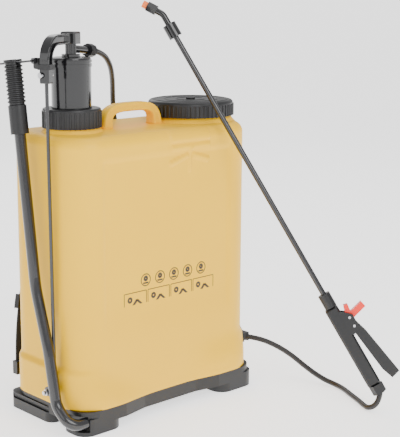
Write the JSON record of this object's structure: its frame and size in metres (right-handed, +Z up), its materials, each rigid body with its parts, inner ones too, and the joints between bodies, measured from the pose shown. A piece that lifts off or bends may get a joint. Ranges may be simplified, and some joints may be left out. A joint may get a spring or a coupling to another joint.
{
  "type": "knapsack sprayer",
  "caption": "Lever-operated knapsack sprayer: plastic tank, piston pump with air chamber, strained filler, shoulder straps, hose and trigger lance.",
  "frame": {"origin": "on the floor under the middle of the tank", "axes": "+X along the wide front towards the filler's side, +Y towards the wearer's back, +Z up"},
  "size_m": [0.4536, 0.4636, 0.5937],
  "materials": {
    "yellow": "satin",
    "black": "satin",
    "gloss_black": "gloss",
    "clear_grey": "satin",
    "zinc": "satin",
    "painted": "satin",
    "rubber": "matte",
    "hose": "satin",
    "orange": "satin",
    "red": "satin",
    "webbing": "matte"
  },
  "bodies": {
    "frame": {"tank": "yellow", "tank_necks": "yellow", "carry_handle": "yellow", "tank_base": "black", "base_screws": "zinc", "pump_ring_nut": "black", "pump_gasket": "rubber", "pump_cylinder": "clear_grey", "suction_pipe": "clear_grey", "suction_strainer": "black", "inlet_cage": "black", "lever_bush": "black", "hose_back": "hose", "hose_clips": "black", "strap_left": "webbing", "strap_right": "webbing", "strap_pads": "webbing", "strap_buckles": "black", "strap_anchor": "black", "strap_hooks": "black"},
    "pump_unit": {"air_chamber": "gloss_black", "pump_piston": "black", "piston_seal": "rubber", "outlet_cage": "black", "pump_head": "gloss_black", "outlet_elbow": "gloss_black", "outlet_nut": "black", "outlet_sleeve": "black", "yoke_arm": "gloss_black", "yoke_pin": "zinc", "latch_clamp": "black", "hose_upper": "hose"},
    "rod": {"connecting_rod": "painted"},
    "lever": {"lever_tube": "painted", "lever_lug": "painted", "crank_pin": "zinc", "lever_axle": "zinc", "lever_grip": "black"},
    "latch": {"latch_wire": "painted"},
    "lid": {"filler_lid": "black", "lid_gasket": "rubber", "lid_vent": "black"},
    "basket": {"filler_basket": "black"},
    "lance": {"lance_tail_nut": "black", "lance_handle": "black", "trigger_pin": "zinc", "trigger_spring": "zinc", "lock_pin": "zinc", "lance_tube": "painted", "lance_collar": "black", "spray_elbow": "gloss_black", "nozzle_nut": "gloss_black", "spray_nut": "gloss_black", "hose_front": "hose"},
    "trigger": {"lance_trigger": "black"},
    "stem": {"valve_stem": "zinc"},
    "lock": {"trigger_lock": "red"},
    "tip": {"nozzle_tip": "orange"},
    "inlet_valve": {"inlet_ball": "zinc"},
    "outlet_valve": {"outlet_ball": "zinc"}
  },
  "joints": [
    {"name": "lever_swing", "type": "hinge", "parent": "frame", "child": "lever", "pos_m": [-0.187, -0.082, 0.018], "axis": [-1, 0, 0], "range_deg": [0, 44]},
    {"name": "pump_stroke", "type": "slide", "parent": "frame", "child": "pump_unit", "axis": [0, 0, -1], "range_m": [0, 0.04372], "deforming": ["hose_upper"]},
    {"name": "rod_tilt", "type": "hinge", "parent": "pump_unit", "child": "rod", "pos_m": [-0.176, -0.0315, 0.498], "axis": [1, 0, 0], "range_deg": [0, 2.28]},
    {"name": "latch_swing", "type": "hinge", "parent": "pump_unit", "child": "latch", "pos_m": [-0.187, -0.018, 0.517], "axis": [1, 0, 0], "range_deg": [0, 90]},
    {"name": "lid_lift", "type": "slide", "parent": "frame", "child": "lid", "axis": [0, 0, 1], "range_m": [0, 0.085]},
    {"name": "basket_lift", "type": "slide", "parent": "frame", "child": "basket", "axis": [0, 0, 1], "range_m": [0, 0.045]},
    {"name": "lance_lift", "type": "slide", "parent": "frame", "child": "lance", "axis": [0, 0, 1], "range_m": [0, 0.15], "deforming": ["hose_front"]},
    {"name": "trigger_squeeze", "type": "hinge", "parent": "lance", "child": "trigger", "pos_m": [0.1979, -0.26348, 0.12897], "axis": [0.7104, 0.6931, -0.1226], "range_deg": [0, 7.5], "stiffness_Nm_per_rad": 1, "springref_deg": -8.59},
    {"name": "valve_press", "type": "slide", "parent": "lance", "child": "stem", "axis": [-0.6461, 0.573, -0.5042], "range_m": [0, 0.0017]},
    {"name": "lock_turn", "type": "hinge", "parent": "lance", "child": "lock", "pos_m": [0.194, -0.25736, 0.14094], "axis": [0.7104, 0.6931, -0.1226], "range_deg": [0, 25]},
    {"name": "nozzle_turn", "type": "hinge", "parent": "lance", "child": "tip", "pos_m": [0.02339, -0.00362, 0.58679], "axis": [-0.5791, 0.6746, 0.4578], "range_deg": [-90, 90]},
    {"name": "inlet_valve_lift", "type": "slide", "parent": "frame", "child": "inlet_valve", "axis": [0, 0, 1], "range_m": [0, 0.0024]},
    {"name": "outlet_valve_lift", "type": "slide", "parent": "pump_unit", "child": "outlet_valve", "axis": [0, 0, 1], "range_m": [0, 0.0024]}
  ],
  "couplings": [
    {"joint": "pump_stroke", "follows": "lever_swing", "m_per_rad": 0.056412},
    {"joint": "rod_tilt", "follows": "lever_swing", "ratio": 0.045098},
    {"joint": "basket_lift", "follows": "lid_lift", "ratio": 0.5},
    {"joint": "valve_press", "follows": "trigger_squeeze", "m_per_rad": 0.0118}
  ]
}
